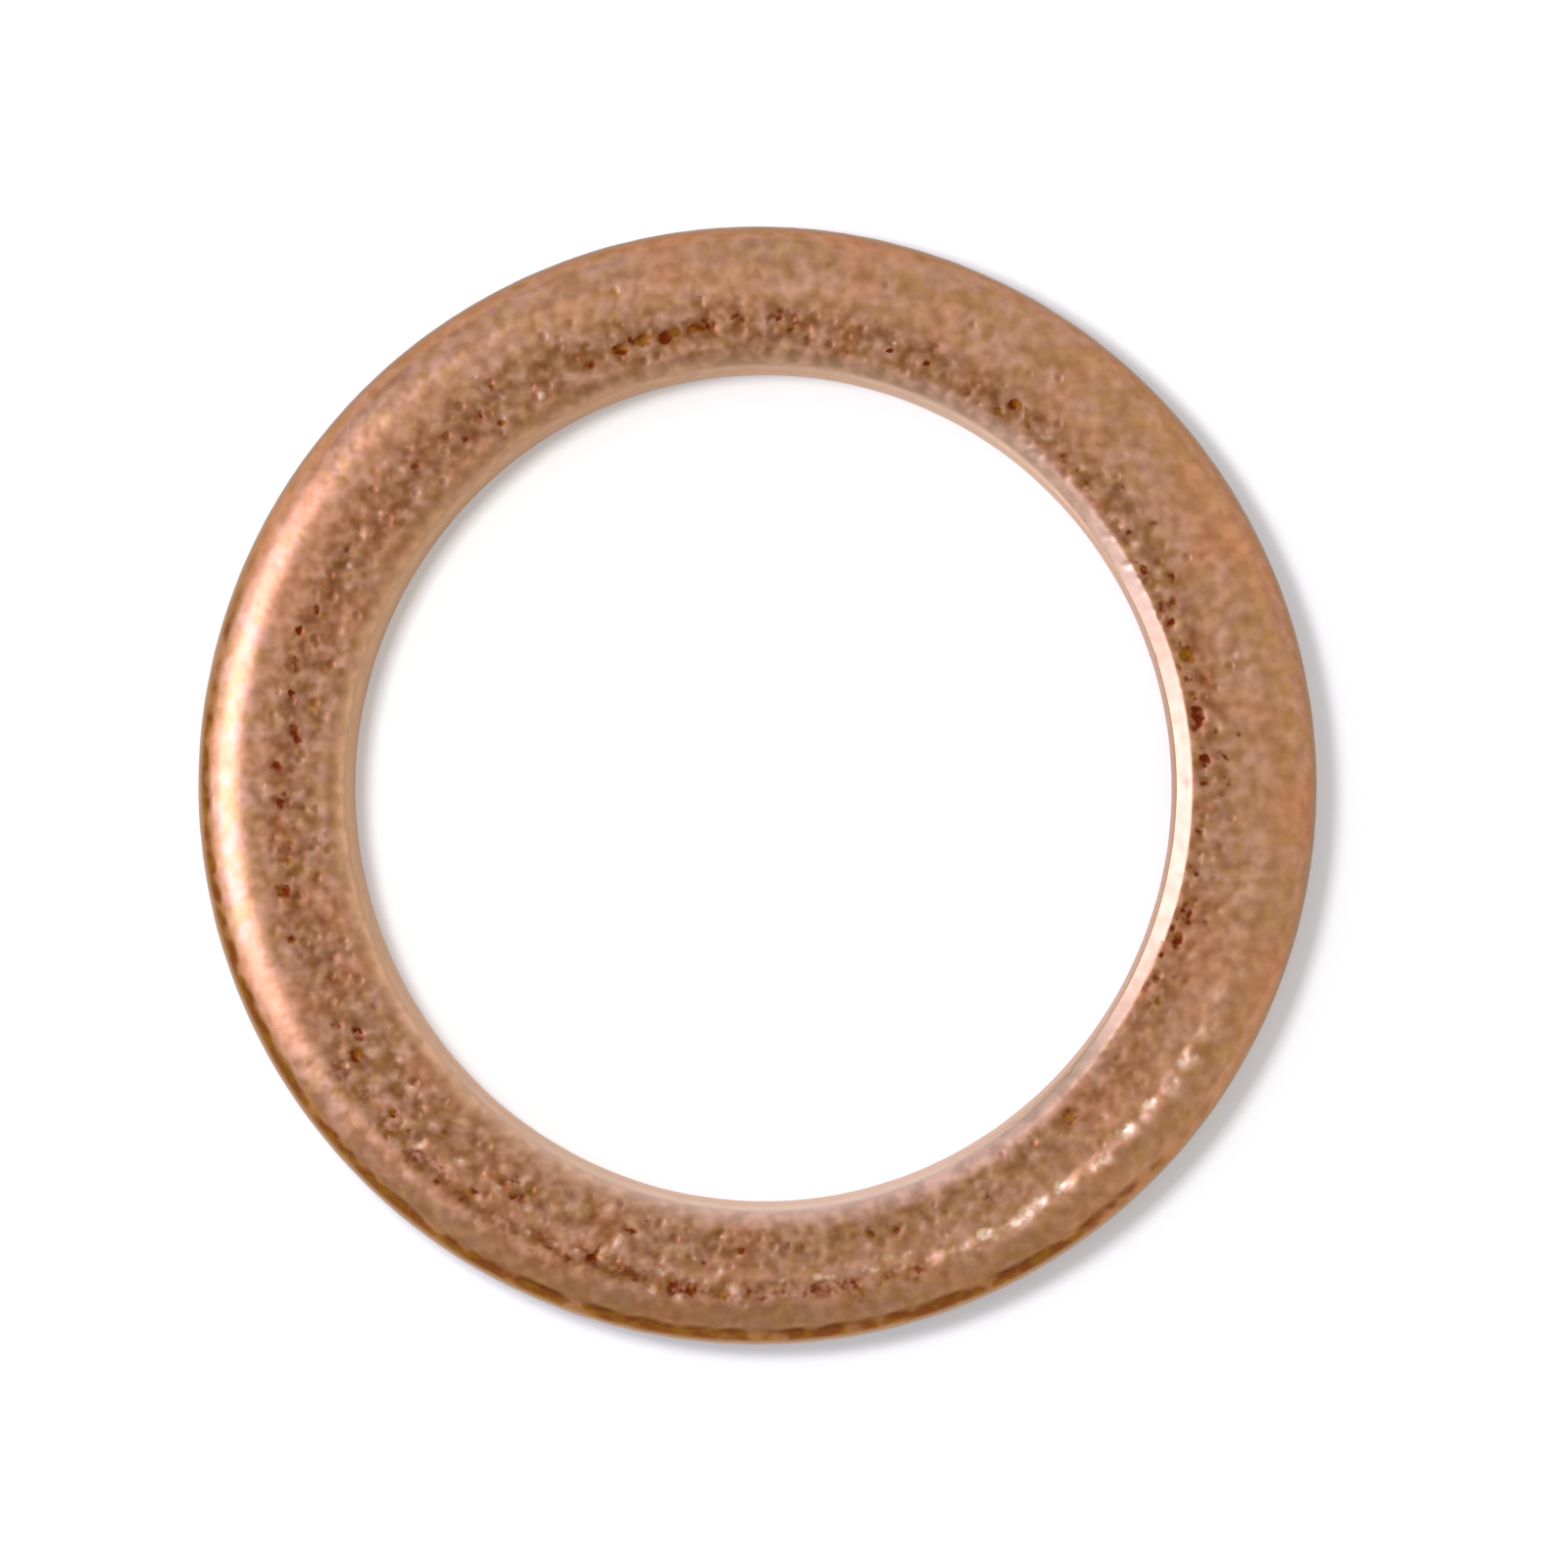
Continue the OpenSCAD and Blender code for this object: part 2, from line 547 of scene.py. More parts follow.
def mark_row(start, stop, radius, count, size, oxide_shade_and_glint, stray, steep):
    """A row of small dents along an arc, of uneven size and each a little out of line."""
    for step in range(count):
        degrees = start + (stop - start) * (step + chance.uniform(-0.5, 0.5)) / (count - 1)
        length = size * chance.uniform(*ROW_LENGTHS)
        dent(
            radius=radius + chance.gauss(0, stray),
            degrees=degrees,
            length=length,
            width=length * chance.uniform(*ROW_WIDTHS),
            turn=degrees + 90 + chance.uniform(-ROW_TURN, ROW_TURN),
            depth=steep * length,
            oxide_shade_and_glint=oxide_shade_and_glint * chance.uniform(*ROW_OXIDE_AND_GLINT_SPREAD),
        )


# %% The deepest pits
DEEP_PIT = 0.14
# Two rows on the far side
mark_row(108, 95, 8.93 * MM, count=8, size=0.16 * MM, oxide_shade_and_glint=2.4, stray=0.03 * MM, steep=DEEP_PIT)
mark_row(85, 60, 8.85 * MM, count=4, size=0.12 * MM, oxide_shade_and_glint=1.9, stray=0.10 * MM, steep=DEEP_PIT)
# On the left and in front of it
mark_row(158, 192, 9.27 * MM, count=9, size=0.13 * MM, oxide_shade_and_glint=2.0, stray=0.10 * MM, steep=DEEP_PIT)
mark_row(200, 240, 9.20 * MM, count=6, size=0.14 * MM, oxide_shade_and_glint=1.9, stray=0.30 * MM, steep=DEEP_PIT)
# Along the bevel on the right
mark_row(320, 348, 8.75 * MM, count=3, size=0.16 * MM, oxide_shade_and_glint=1.9, stray=0.08 * MM, steep=DEEP_PIT)
mark_row(0, 30, 8.66 * MM, count=7, size=0.15 * MM, oxide_shade_and_glint=2.0, stray=0.05 * MM, steep=DEEP_PIT)
print("deep pits:", DEEP_PIT, "of their half length deep")

# %% [markdown]
# The same function draws finer lines. A scratch on the far side and the edge of the bevel are thin rows
# of pits. The step shows as a broken line, bright in one stretch and dark in the next, so rows of broad,
# shallow dents are laid along it and rows of small flecks over them: painted glints and highlight in the
# bright stretch, painted shade in the dark one.

# %% Broken lines
# A thin dark line on the far side, and pits along the bevel
mark_row(94, 85, 9.05 * MM, count=11, size=0.07 * MM, oxide_shade_and_glint=0.9, stray=0.02 * MM, steep=0.25)
mark_row(45, -30, 8.61 * MM, count=30, size=0.13 * MM, oxide_shade_and_glint=1.0, stray=0.06 * MM, steep=0.12)
# Along the step: a bright stretch of painted highlight, with flecks of painted glint that run on into
# the dark one
mark_row(340, 288, 9.86 * MM, count=38, size=0.24 * MM, oxide_shade_and_glint=-0.45, stray=0.13 * MM, steep=0.05)
mark_row(332, 290, 9.85 * MM, count=16, size=0.10 * MM, oxide_shade_and_glint=-1.0, stray=0.10 * MM, steep=0.08)
mark_row(292, 225, 9.60 * MM, count=34, size=0.11 * MM, oxide_shade_and_glint=-0.9, stray=0.20 * MM, steep=0.08)
# The dark stretch: broad dents of painted shade, with small pits over it
mark_row(262, 215, 9.72 * MM, count=42, size=0.25 * MM, oxide_shade_and_glint=0.65, stray=0.08 * MM, steep=0.04)
mark_row(288, 255, 9.90 * MM, count=32, size=0.23 * MM, oxide_shade_and_glint=0.85, stray=0.06 * MM, steep=0.04)
mark_row(275, 222, 9.84 * MM, count=24, size=0.11 * MM, oxide_shade_and_glint=1.1, stray=0.09 * MM, steep=0.15)
# Painted glints on the bright stretch
mark_row(331, 294, 9.83 * MM, count=14, size=0.16 * MM, oxide_shade_and_glint=-2.1, stray=0.06 * MM, steep=0.09)
print("broken lines along the step at", round(STEP_OUT / MM, 2), "mm radius")

# %% [markdown]
# Something hard once slid across the front. It left a gouge, a burr of copper that it pushed up, and a
# few short scratches beside them. Such single marks are placed one by one.

# %% The gouge
dent(9.60 * MM, 251, length=0.30 * MM, width=0.10 * MM, turn=57, depth=0.03 * MM, oxide_shade_and_glint=1.0)
# The burr that the gouge pushed up, with a painted glint
dent(9.25 * MM, 253, length=0.30 * MM, width=0.09 * MM, turn=57, depth=-0.012 * MM, oxide_shade_and_glint=-1.0)
# Two dark scratches and a bright one, which stands up and carries a painted glint
dent(9.00 * MM, 254, length=0.22 * MM, width=0.08 * MM, turn=344, depth=0.02 * MM, oxide_shade_and_glint=1.4)
dent(9.05 * MM, 268, length=0.26 * MM, width=0.08 * MM, turn=0, depth=0.02 * MM, oxide_shade_and_glint=1.4)
dent(9.65 * MM, 278, length=0.40 * MM, width=0.09 * MM, turn=8, depth=-0.01 * MM, oxide_shade_and_glint=-1.0)
# A raised burr at the edge of the bore, on the far left, with a painted glint
dent(8.65 * MM, 119, length=0.12 * MM, width=0.11 * MM, turn=0, depth=-0.012 * MM, oxide_shade_and_glint=-1.2)
marked = sum(1 for vert in upper if vert[oxide_shade_glint_layer] != 0)
print("marks on", marked, "of", len(upper), "vertices of the upper skin")

# %% [markdown]
# The skin is done, and it takes the solid's place in the frame.
# Three kinds of copper show on it: the worn outside, the edges that the shear left at the seam, and the
# dull inside of the fold. Each face is told which one it is from where it lies.

# %% Hand the ring to the frame
WORN, SHEARED, HOLLOW = range(3)
# The sheared edges reach this far from the seam, over their rounded lips
seam_reach = 2 * lip_r
for face in bm.faces:
    centre = face.calc_center_median()
    at_seam = seam_in - seam_reach < centre.xy.length < seam_out + seam_reach
    if all(vert[skin_layer] > ON_SKIN for vert in face.verts):
        face.material_index = WORN
    elif at_seam and centre.z < sheet:
        face.material_index = SHEARED
    else:
        face.material_index = HOLLOW
mesh = bpy.data.meshes.new("folded_skin")
bm.to_mesh(mesh)
bm.free()
washer = bpy.data.objects.new("folded_skin", mesh)
bpy.context.scene.collection.objects.link(washer)
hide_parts("crush_washer")
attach(washer, "root")
kinds = [0, 0, 0]
for polygon in mesh.polygons:
    kinds[polygon.material_index] += 1
print("faces worn, sheared and inside the hollow:", kinds)

# %% [markdown]
# Every finish is a small network of nodes. These helpers add one node each and wire it at once, so that
# a finish below reads like a recipe.

# %% Helpers for node trees
def feed(tree, socket, value):
    """Links a socket to an input, or sets the input to a plain value."""
    if isinstance(value, bpy.types.NodeSocket):
        tree.links.new(value, socket)
    else:
        socket.default_value = value


def add_node(tree, kind, inputs=None, **settings):
    """Adds a node, sets its options and feeds its inputs."""
    made = tree.nodes.new(kind)
    for name, value in settings.items():
        setattr(made, name, value)
    for name, value in (inputs or {}).items():
        feed(tree, made.inputs[name], value)
    return made


def remap(tree, value, from_min, from_max, to_min=0.0, to_max=1.0):
    """A value moved smoothly from one range to another."""
    limits = {"From Min": from_min, "From Max": from_max, "To Min": to_min, "To Max": to_max}
    made = add_node(tree, "ShaderNodeMapRange", limits, interpolation_type="SMOOTHSTEP")
    feed(tree, made.inputs["Value"], value)
    return made.outputs["Result"]


def arithmetic(tree, operation, first, second):
    """One step of arithmetic on two values."""
    return add_node(tree, "ShaderNodeMath", {0: first, 1: second}, operation=operation).outputs[0]


def mix_colours(tree, factor, first, second, kind="MIX"):
    """Two colours mixed by a factor."""
    made = add_node(tree, "ShaderNodeMix", data_type="RGBA", blend_type=kind)
    sockets = {socket.identifier: socket for socket in made.inputs}
    feed(tree, sockets["Factor_Float"], factor)
    feed(tree, sockets["A_Color"], first)
    feed(tree, sockets["B_Color"], second)
    return next(socket for socket in made.outputs if socket.identifier == "Result_Color")


def noise_of(tree, place, scale, detail=2.0, roughness=0.5):
    """A noise texture, from 0 to 1."""
    inputs = {"Vector": place, "Scale": scale, "Detail": detail, "Roughness": roughness}
    return add_node(tree, "ShaderNodeTexNoise", inputs).outputs["Fac"]


# Noise seldom leaves this range
NOISE_LOW = 0.3
NOISE_HIGH = 0.7


def spread_noise(tree, value, low, high):
    """A noise that is spread over its usual range, from low to high."""
    return remap(tree, value, NOISE_LOW, NOISE_HIGH, low, high)


def new_group(name, inputs, outputs):
    """An empty shader group with named sockets. Returns it with its start and its end."""
    group = bpy.data.node_groups.new(name, "ShaderNodeTree")
    for label, kind in inputs.items():
        group.interface.new_socket(label, in_out="INPUT", socket_type=kind)
    for label, kind in outputs.items():
        group.interface.new_socket(label, in_out="OUTPUT", socket_type=kind)
    return group, group.nodes.new("NodeGroupInput").outputs, group.nodes.new("NodeGroupOutput").inputs


def place_group(tree, group, output, inputs):
    """Places a group in a finish with its own values and returns one of its outputs."""
    return add_node(tree, "ShaderNodeGroup", inputs, node_tree=group).outputs[output]


# %% [markdown]
# Annealed copper is never one colour. Where it was hottest it is rosy, where oxide is thin it is tan,
# and rubbed places are orange. The outside, the sheared edges and the hollow all share that drift, so it
# is a group: one network that each finish places with its own patch size and brightness.

# %% Group for the drift of colour
VALUE, COLOUR, VECTOR = "NodeSocketFloat", "NodeSocketColor", "NodeSocketVector"
ROSY = (0.635, 0.312, 0.170, 1)
TAN = (0.58, 0.282, 0.112, 1)
ORANGE = (0.65, 0.285, 0.128, 1)
# The noise between which tan turns rosy, and either of them orange
ROSY_FROM, ROSY_FULL = 0.38, 0.62
ORANGE_FROM, ORANGE_FULL = 0.45, 0.70
# There are so many orange patches for each of the others
ORANGE_PATCHES = 0.3
tints, start, end = new_group(
    "copper_tints",
    {"Place": VECTOR, "Patches per mm": VALUE, "Brightness": VALUE},
    {"Colour": COLOUR},
)
small = noise_of(tints, start["Place"], start["Patches per mm"], detail=1.5)
tint = mix_colours(tints, remap(tints, small, ROSY_FROM, ROSY_FULL), TAN, ROSY)
sparse = arithmetic(tints, "MULTIPLY", start["Patches per mm"], ORANGE_PATCHES)
large = noise_of(tints, start["Place"], sparse)
tint = mix_colours(tints, remap(tints, large, ORANGE_FROM, ORANGE_FULL), tint, ORANGE)
tint = mix_colours(tints, 1.0, tint, start["Brightness"], "MULTIPLY")
feed(tints, end["Colour"], tint)
print("group:", tints.name)

# %% [markdown]
# Soft sheet also has a fine grain, left by rolling and by the acid bath after annealing. It is a
# second group, whose one value shades the colour, the roughness or the bump of a finish.

# %% Group for the grain of the sheet
grains, start, end = new_group(
    "sheet_grain",
    {"Place": VECTOR, "Grains per mm": VALUE},
    {"Grain": VALUE},
)
grain = noise_of(grains, start["Place"], start["Grains per mm"], detail=1, roughness=0.45)
feed(grains, end["Grain"], grain)
print("group:", grains.name)

# %% [markdown]
# All three finishes start the same way: a metal shader, with places on the washer in millimetres. Metal
# has no colour of its own under the shine, so a tint goes into the mirror itself. Seen edge-on, a clean
# mirror turns white, but oxide keeps it brown, and the shader's Specular Tint does that.

# %% Start a finish
EDGE_BROWN = (0.80, 0.65, 0.55, 1)


def new_finish(name):
    """A metal material. Returns its node tree, its shader's inputs and places in millimetres."""
    material = bpy.data.materials.new(name)
    material.use_nodes = True
    tree = material.node_tree
    shader = tree.nodes["Principled BSDF"]
    shader.inputs["Metallic"].default_value = 1
    shader.inputs["Specular Tint"].default_value = EDGE_BROWN
    coords = add_node(tree, "ShaderNodeTexCoord").outputs["Object"]
    scale = (1 / MM, 1 / MM, 1 / MM)
    place = add_node(tree, "ShaderNodeMapping", {"Vector": coords, "Scale": scale}).outputs["Vector"]
    mesh.materials.append(material)
    return tree, shader.inputs, place


def vertex_value(tree, name):
    """A value that the mesh carries on its vertices."""
    return add_node(tree, "ShaderNodeAttribute", attribute_name=name).outputs["Fac"]


# %% [markdown]
# First the worn outside. Colour, grain and pits are laid over each other, each where the vertex values
# say. A picture wrapped round the ring could do that too, but it would blur close up, and nodes don't.

# %% Worn copper: where things are
GRAINS_PER_MM = 3.6
worn, surface, place = new_finish("worn_copper")
rim = vertex_value(worn, "rim")
bore = vertex_value(worn, "bore")
pitted_and_shaded = vertex_value(worn, "pitted_and_shaded")
painted_bore_light = vertex_value(worn, "painted_bore_light")
bevelled = vertex_value(worn, "bevelled")
bent = arithmetic(worn, "MAXIMUM", rim, bore)
matt = remap(worn, bent, FLAT_SLOPE, BENT_SLOPE, 1.0, 0.0)
grain = place_group(worn, grains, "Grain", {"Place": place, "Grains per mm": GRAINS_PER_MM})
print("worn copper starts with", len(worn.nodes), "nodes")

# %% [markdown]
# Pits smaller than the mesh can hold are dots in the cells of a Voronoi texture. A lot is drawn in each
# cell, and more of them win a dot inside the pitted band.

# %% Worn copper: pits too small for the mesh
DOTS_PER_MM = 3.6
DOT_CORE, DOT_EDGE = 0.10, 0.45
# The share of cells with a dot, outside the band and inside it
FEW_DOTS, MANY_DOTS = 0.05, 0.5
cells = add_node(worn, "ShaderNodeTexVoronoi", {"Vector": place, "Scale": DOTS_PER_MM})
dot = remap(worn, cells.outputs["Distance"], DOT_CORE, DOT_EDGE, 1.0, 0.0)
lot = add_node(worn, "ShaderNodeSeparateColor", {"Color": cells.outputs["Color"]}).outputs["Red"]
drawn = arithmetic(worn, "LESS_THAN", lot, remap(worn, pitted_and_shaded, 0.0, 1.0, FEW_DOTS, MANY_DOTS))
fine_pit = arithmetic(worn, "MULTIPLY", arithmetic(worn, "MULTIPLY", dot, drawn), matt)
print("fine pits:", DOTS_PER_MM, "cells per mm")

# %% [markdown]
# The dents in the mesh carry dark oxide, painted shade along the step, or a painted glint. Their ovals
# would look too neat, so a fine noise tears their edges.

# %% Worn copper: dark dents and painted glints
RAGS_PER_MM = 7.5
RAGGED = 0.5
# The oxide between which a dent turns dark, and the one at which its painted glint is strongest, with
# how strong it is
DARK_FROM, DARK_FULL = 0.05, 1.35
SHINY_FULL, SHINIEST = -1.9, 0.9
FINE_PIT_DARK = 0.4
oxide_shade_and_glint = vertex_value(worn, "oxide_shade_and_glint")
ragged = spread_noise(worn, noise_of(worn, place, RAGS_PER_MM, detail=1), -RAGGED, RAGGED)
torn = arithmetic(worn, "MULTIPLY", oxide_shade_and_glint, arithmetic(worn, "ADD", 1.0, ragged))
dark = remap(worn, torn, DARK_FROM, DARK_FULL)
dark = arithmetic(worn, "MAXIMUM", dark, arithmetic(worn, "MULTIPLY", fine_pit, FINE_PIT_DARK))
glint_share = remap(worn, torn, SHINY_FULL, 0.0, SHINIEST, 0.0)
print("dents are torn by", RAGGED, "of their oxide")

# %% [markdown]
# The flats take the drift of colour, and the grain makes it deeper, lighter or darker, more so in the
# pitted band. The band is also browner, partly from its pits and partly from painted shade, and has
# blotches of rust. Mixing with a brown would hide the drift there, so the band's brown is multiplied in.

# %% Worn copper: colour of the flats
MAROON = (0.17, 0.022, 0.003, 1)
RUST = (0.32, 0.12, 0.012, 1)
# The colour of a painted glint
PAINTED_GLINT = (1.0, 0.70, 0.43, 1)
BAND_BROWN_AND_SHADE = (0.61, 0.555, 0.475, 1)
PATCHES_PER_MM = 2.6
# How far the grain swings the depth and the brightness of the colour, outside the band and inside it
DEPTH_CLEAN, DEPTH_PITTED = 0.3, 1.0
SHADE_CLEAN, SHADE_PITTED = 0.5, 1.1
# Blotches of rust: how many, the noise between which they show, and how strong they are
BLOTCHES_PER_MM = 4.0
BLOTCH_FROM, BLOTCH_FULL, BLOTCH_MOST = 0.55, 0.70, 0.6
# Oxide in the pits: how many patches, and the noise between which maroon turns to rust
OXIDES_PER_MM = 3.0
RUST_FROM, RUST_FULL = 0.46, 0.65
patches = {"Place": place, "Patches per mm": PATCHES_PER_MM, "Brightness": 1.0}
tint = place_group(worn, tints, "Colour", patches)
swing = remap(worn, pitted_and_shaded, 0, 1, DEPTH_CLEAN, DEPTH_PITTED)
depth = arithmetic(worn, "MULTIPLY", arithmetic(worn, "SUBTRACT", 0.5, grain), swing)
depth = arithmetic(worn, "ADD", depth, 1.0)
tint = add_node(worn, "ShaderNodeGamma", {"Color": tint, "Gamma": depth}).outputs["Color"]
contrast = remap(worn, pitted_and_shaded, 0, 1, SHADE_CLEAN, SHADE_PITTED)
shade = arithmetic(worn, "MULTIPLY", arithmetic(worn, "SUBTRACT", grain, 0.5), contrast)
tint = mix_colours(worn, 1.0, tint, arithmetic(worn, "ADD", shade, 1.0), "MULTIPLY")
# The band's brown, partly its pits and partly painted shade
tint = mix_colours(worn, pitted_and_shaded, tint, BAND_BROWN_AND_SHADE, "MULTIPLY")
blotch = noise_of(worn, place, BLOTCHES_PER_MM, detail=1)
blotch = remap(worn, blotch, BLOTCH_FROM, BLOTCH_FULL, 0.0, BLOTCH_MOST)
tint = mix_colours(worn, arithmetic(worn, "MULTIPLY", blotch, pitted_and_shaded), tint, RUST)
rusty = remap(worn, noise_of(worn, place, OXIDES_PER_MM), RUST_FROM, RUST_FULL)
tint = mix_colours(worn, dark, tint, mix_colours(worn, rusty, MAROON, RUST))
# Painted glints where the oxide is below 0
tint = mix_colours(worn, glint_share, tint, PAINTED_GLINT)
print("colour of the flats:", len(worn.nodes), "nodes so far")

# %% [markdown]
# On the rim the painted dark edge is brown with amber in it, and uneven, so a slow noise thins it here
# and there.
# Its steepest part, the wall, turns a greyer brown, painted shade for the soft edge where it meets the
# paper.

# %% Worn copper: colour of the rim
# Colours of the painted dark edge, which stands in for the shaded paper that the steep rim mirrors
RIM_BROWN = (0.19, 0.052, 0.010, 1)
RIM_AMBER = (0.24, 0.095, 0.010, 1)
# The greyer brown painted as shade along the rim's foot
RIM_FOOT_SHADE = (0.45, 0.29, 0.17, 1)
# A painted shade multiplied into the steep rim away from the dark edge
RIM_SHADE_PAINT = (0.64, 0.64, 0.70, 1)
# How many thin places the painted dark edge has, and by how much it is thinner or thicker
THINNED_PER_MM = 1.8
THINNED, THICKENED = 0.65, 1.35
# The share of painted dark edge between which the brown shows, and the noise between which it turns
# amber
BROWN_FROM, BROWN_FULL = 0.2, 0.95
AMBERS_PER_MM = 2.5
AMBER_FROM, AMBER_FULL = 0.4, 0.6
# The slopes between which the rim turns into its wall, with its painted shade
RIM_FOOT_FROM, RIM_FOOT_FULL = 0.84, 0.97
uneven = spread_noise(worn, noise_of(worn, place, THINNED_PER_MM), THINNED, THICKENED)
painted_dark_edge = arithmetic(worn, "MULTIPLY", vertex_value(worn, "painted_dark_edge"), uneven)
amber = remap(worn, noise_of(worn, place, AMBERS_PER_MM), AMBER_FROM, AMBER_FULL)
rim_tint = mix_colours(worn, amber, RIM_BROWN, RIM_AMBER)
tint = mix_colours(worn, remap(worn, painted_dark_edge, BROWN_FROM, BROWN_FULL), tint, rim_tint)
tint = mix_colours(worn, remap(worn, rim, RIM_FOOT_FROM, RIM_FOOT_FULL), tint, RIM_FOOT_SHADE)
# Painted shade where the rest of the rim falls away towards the paper
tint = mix_colours(worn, vertex_value(worn, "painted_rim_shade"), tint, RIM_SHADE_PAINT, "MULTIPLY")
print("colour of the rim:", len(worn.nodes), "nodes so far")

# %% [markdown]
# The bore goes from its pale edge to the straight wall, each tinted from painted shade to painted
# reflection by its angle. Over both lies the bevel, which is lighter on the far side.

# %% Worn copper: colour of the bore
# Tints of the bore's edge and wall, in painted shade and in painted reflection
BORE_SHADED_TINT = (0.80, 0.47, 0.28, 1)
BORE_LIT_TINT = (0.79, 0.475, 0.315, 1)
WALL_SHADED_TINT = (0.47, 0.285, 0.17, 1)
WALL_LIT_TINT = (0.72, 0.53, 0.41, 1)
BEVEL_PALE = (0.50, 0.305, 0.165, 1)
BEVEL_FAR = (0.93, 0.60, 0.37, 1)
# How far the grain swings the brightness of the pale edge
EDGE_DARKER, EDGE_LIGHTER = 0.82, 1.14
# The slopes between which the edge turns into the wall
WALL_FROM, WALL_FULL = 0.60, 0.85
# How far back on the washer, in mm, the bevel turns lighter
BEVEL_LIGHTER_FROM, BEVEL_LIGHTER_FULL = 2.5, 5.5
bore_tint = mix_colours(worn, painted_bore_light, BORE_SHADED_TINT, BORE_LIT_TINT)
speckle = spread_noise(worn, grain, EDGE_DARKER, EDGE_LIGHTER)
bore_tint = mix_colours(worn, 1.0, bore_tint, speckle, "MULTIPLY")
# The pale edge is a painted reflection of the paper in the hole
tint = mix_colours(worn, vertex_value(worn, "painted_reflection"), tint, bore_tint)
wall_tint = mix_colours(worn, painted_bore_light, WALL_SHADED_TINT, WALL_LIT_TINT)
tint = mix_colours(worn, remap(worn, bore, WALL_FROM, WALL_FULL), tint, wall_tint)
backwards = add_node(worn, "ShaderNodeSeparateXYZ", {"Vector": place}).outputs["Y"]
lighter = remap(worn, backwards, BEVEL_LIGHTER_FROM, BEVEL_LIGHTER_FULL)
tint = mix_colours(worn, bevelled, tint, mix_colours(worn, lighter, BEVEL_PALE, BEVEL_FAR))
feed(worn, surface["Base Color"], tint)
print("colour of the bore:", len(worn.nodes), "nodes so far")

# %% [markdown]
# Last comes the shine. The grain makes the copper more or less matt, the rim and the bevel are smoother
# and the dark pits rougher. What the mesh is too coarse for, the grain and the fine pits, is bump.

# %% Worn copper: shine and relief
SMOOTHEST, ROUGHEST = 0.32, 0.44
# The slopes between which the rim grows smoother, and by how much
RIM_SMOOTH_FROM, RIM_SMOOTH_FULL, RIM_SMOOTHER = 0.05, 0.35, 0.14
BEVEL_SMOOTHER = 0.14
PIT_ROUGHER = 0.15
# The share of the relief that the bends keep
RELIEF_ON_BENDS = 0.2
RELIEF_DEPTH = 0.02 * MM
rough = spread_noise(worn, grain, SMOOTHEST, ROUGHEST)
smoother = remap(worn, rim, RIM_SMOOTH_FROM, RIM_SMOOTH_FULL, 0, RIM_SMOOTHER)
rough = arithmetic(worn, "SUBTRACT", rough, smoother)
rough = arithmetic(worn, "SUBTRACT", rough, arithmetic(worn, "MULTIPLY", bevelled, BEVEL_SMOOTHER))
rough = arithmetic(worn, "ADD", rough, arithmetic(worn, "MULTIPLY", dark, PIT_ROUGHER))
feed(worn, surface["Roughness"], rough)
relief = arithmetic(worn, "SUBTRACT", grain, fine_pit)
relief_share = remap(worn, bent, FLAT_SLOPE, BENT_SLOPE, 1.0, RELIEF_ON_BENDS)
relief = arithmetic(worn, "MULTIPLY", relief, relief_share)
bump = add_node(worn, "ShaderNodeBump", {"Height": relief, "Distance": RELIEF_DEPTH, "Strength": 0.6})
feed(worn, surface["Normal"], bump.outputs["Normal"])
print("worn copper:", len(worn.nodes), "nodes")

# %% [markdown]
# At the seam the sheet's cut edges show. A shear leaves them brighter than the skin, with fine lines
# that run through the thickness of the sheet: the same grain, stretched along the height.

# %% Sheared copper for the edges at the seam
sheared, surface, place = new_finish("sheared_copper")
tint = place_group(sheared, tints, "Colour", {"Place": place, "Patches per mm": 5.0, "Brightness": 1.1})
feed(sheared, surface["Base Color"], tint)
STRETCHED = (1, 1, 0.15)
streak = add_node(sheared, "ShaderNodeMapping", {"Vector": place, "Scale": STRETCHED}).outputs["Vector"]
lines = place_group(sheared, grains, "Grain", {"Place": streak, "Grains per mm": 16.0})
feed(sheared, surface["Roughness"], spread_noise(sheared, lines, 0.22, 0.42))
bump = add_node(sheared, "ShaderNodeBump", {"Height": lines, "Distance": 0.01 * MM, "Strength": 0.8})
feed(sheared, surface["Normal"], bump.outputs["Normal"])
print("sheared copper:", len(sheared.nodes), "nodes")

# %% [markdown]
# Nothing ever rubs the inside of the fold. It keeps the dull, dark bloom of the furnace: the same two
# groups, with a low brightness and a coarse, rough grain.

# %% Dull copper inside the hollow
hollow, surface, place = new_finish("furnace_copper")
tint = place_group(hollow, tints, "Colour", {"Place": place, "Patches per mm": 2.0, "Brightness": 0.6})
feed(hollow, surface["Base Color"], tint)
bloom = place_group(hollow, grains, "Grain", {"Place": place, "Grains per mm": 6.0})
feed(hollow, surface["Roughness"], spread_noise(hollow, bloom, 0.5, 0.7))
bump = add_node(hollow, "ShaderNodeBump", {"Height": bloom, "Distance": 0.02 * MM, "Strength": 0.5})
feed(hollow, surface["Normal"], bump.outputs["Normal"])
print("furnace copper:", len(hollow.nodes), "nodes")

# %% [markdown]
# The washer lies on plain white paper. The paper lies a hair below the washer, so that the two faces
# don't flicker, and glows a little, so that it stays white in the shade as well.

# %% Floor
FLOOR_GAP = 0.002 * MM
FLOOR_HALF = 1.5
PAPER_GREY = 0.92
PAPER_GLOW = 0.10


def grey(brightness):
    """A colour without any tint."""
    return (brightness, brightness, brightness, 1)


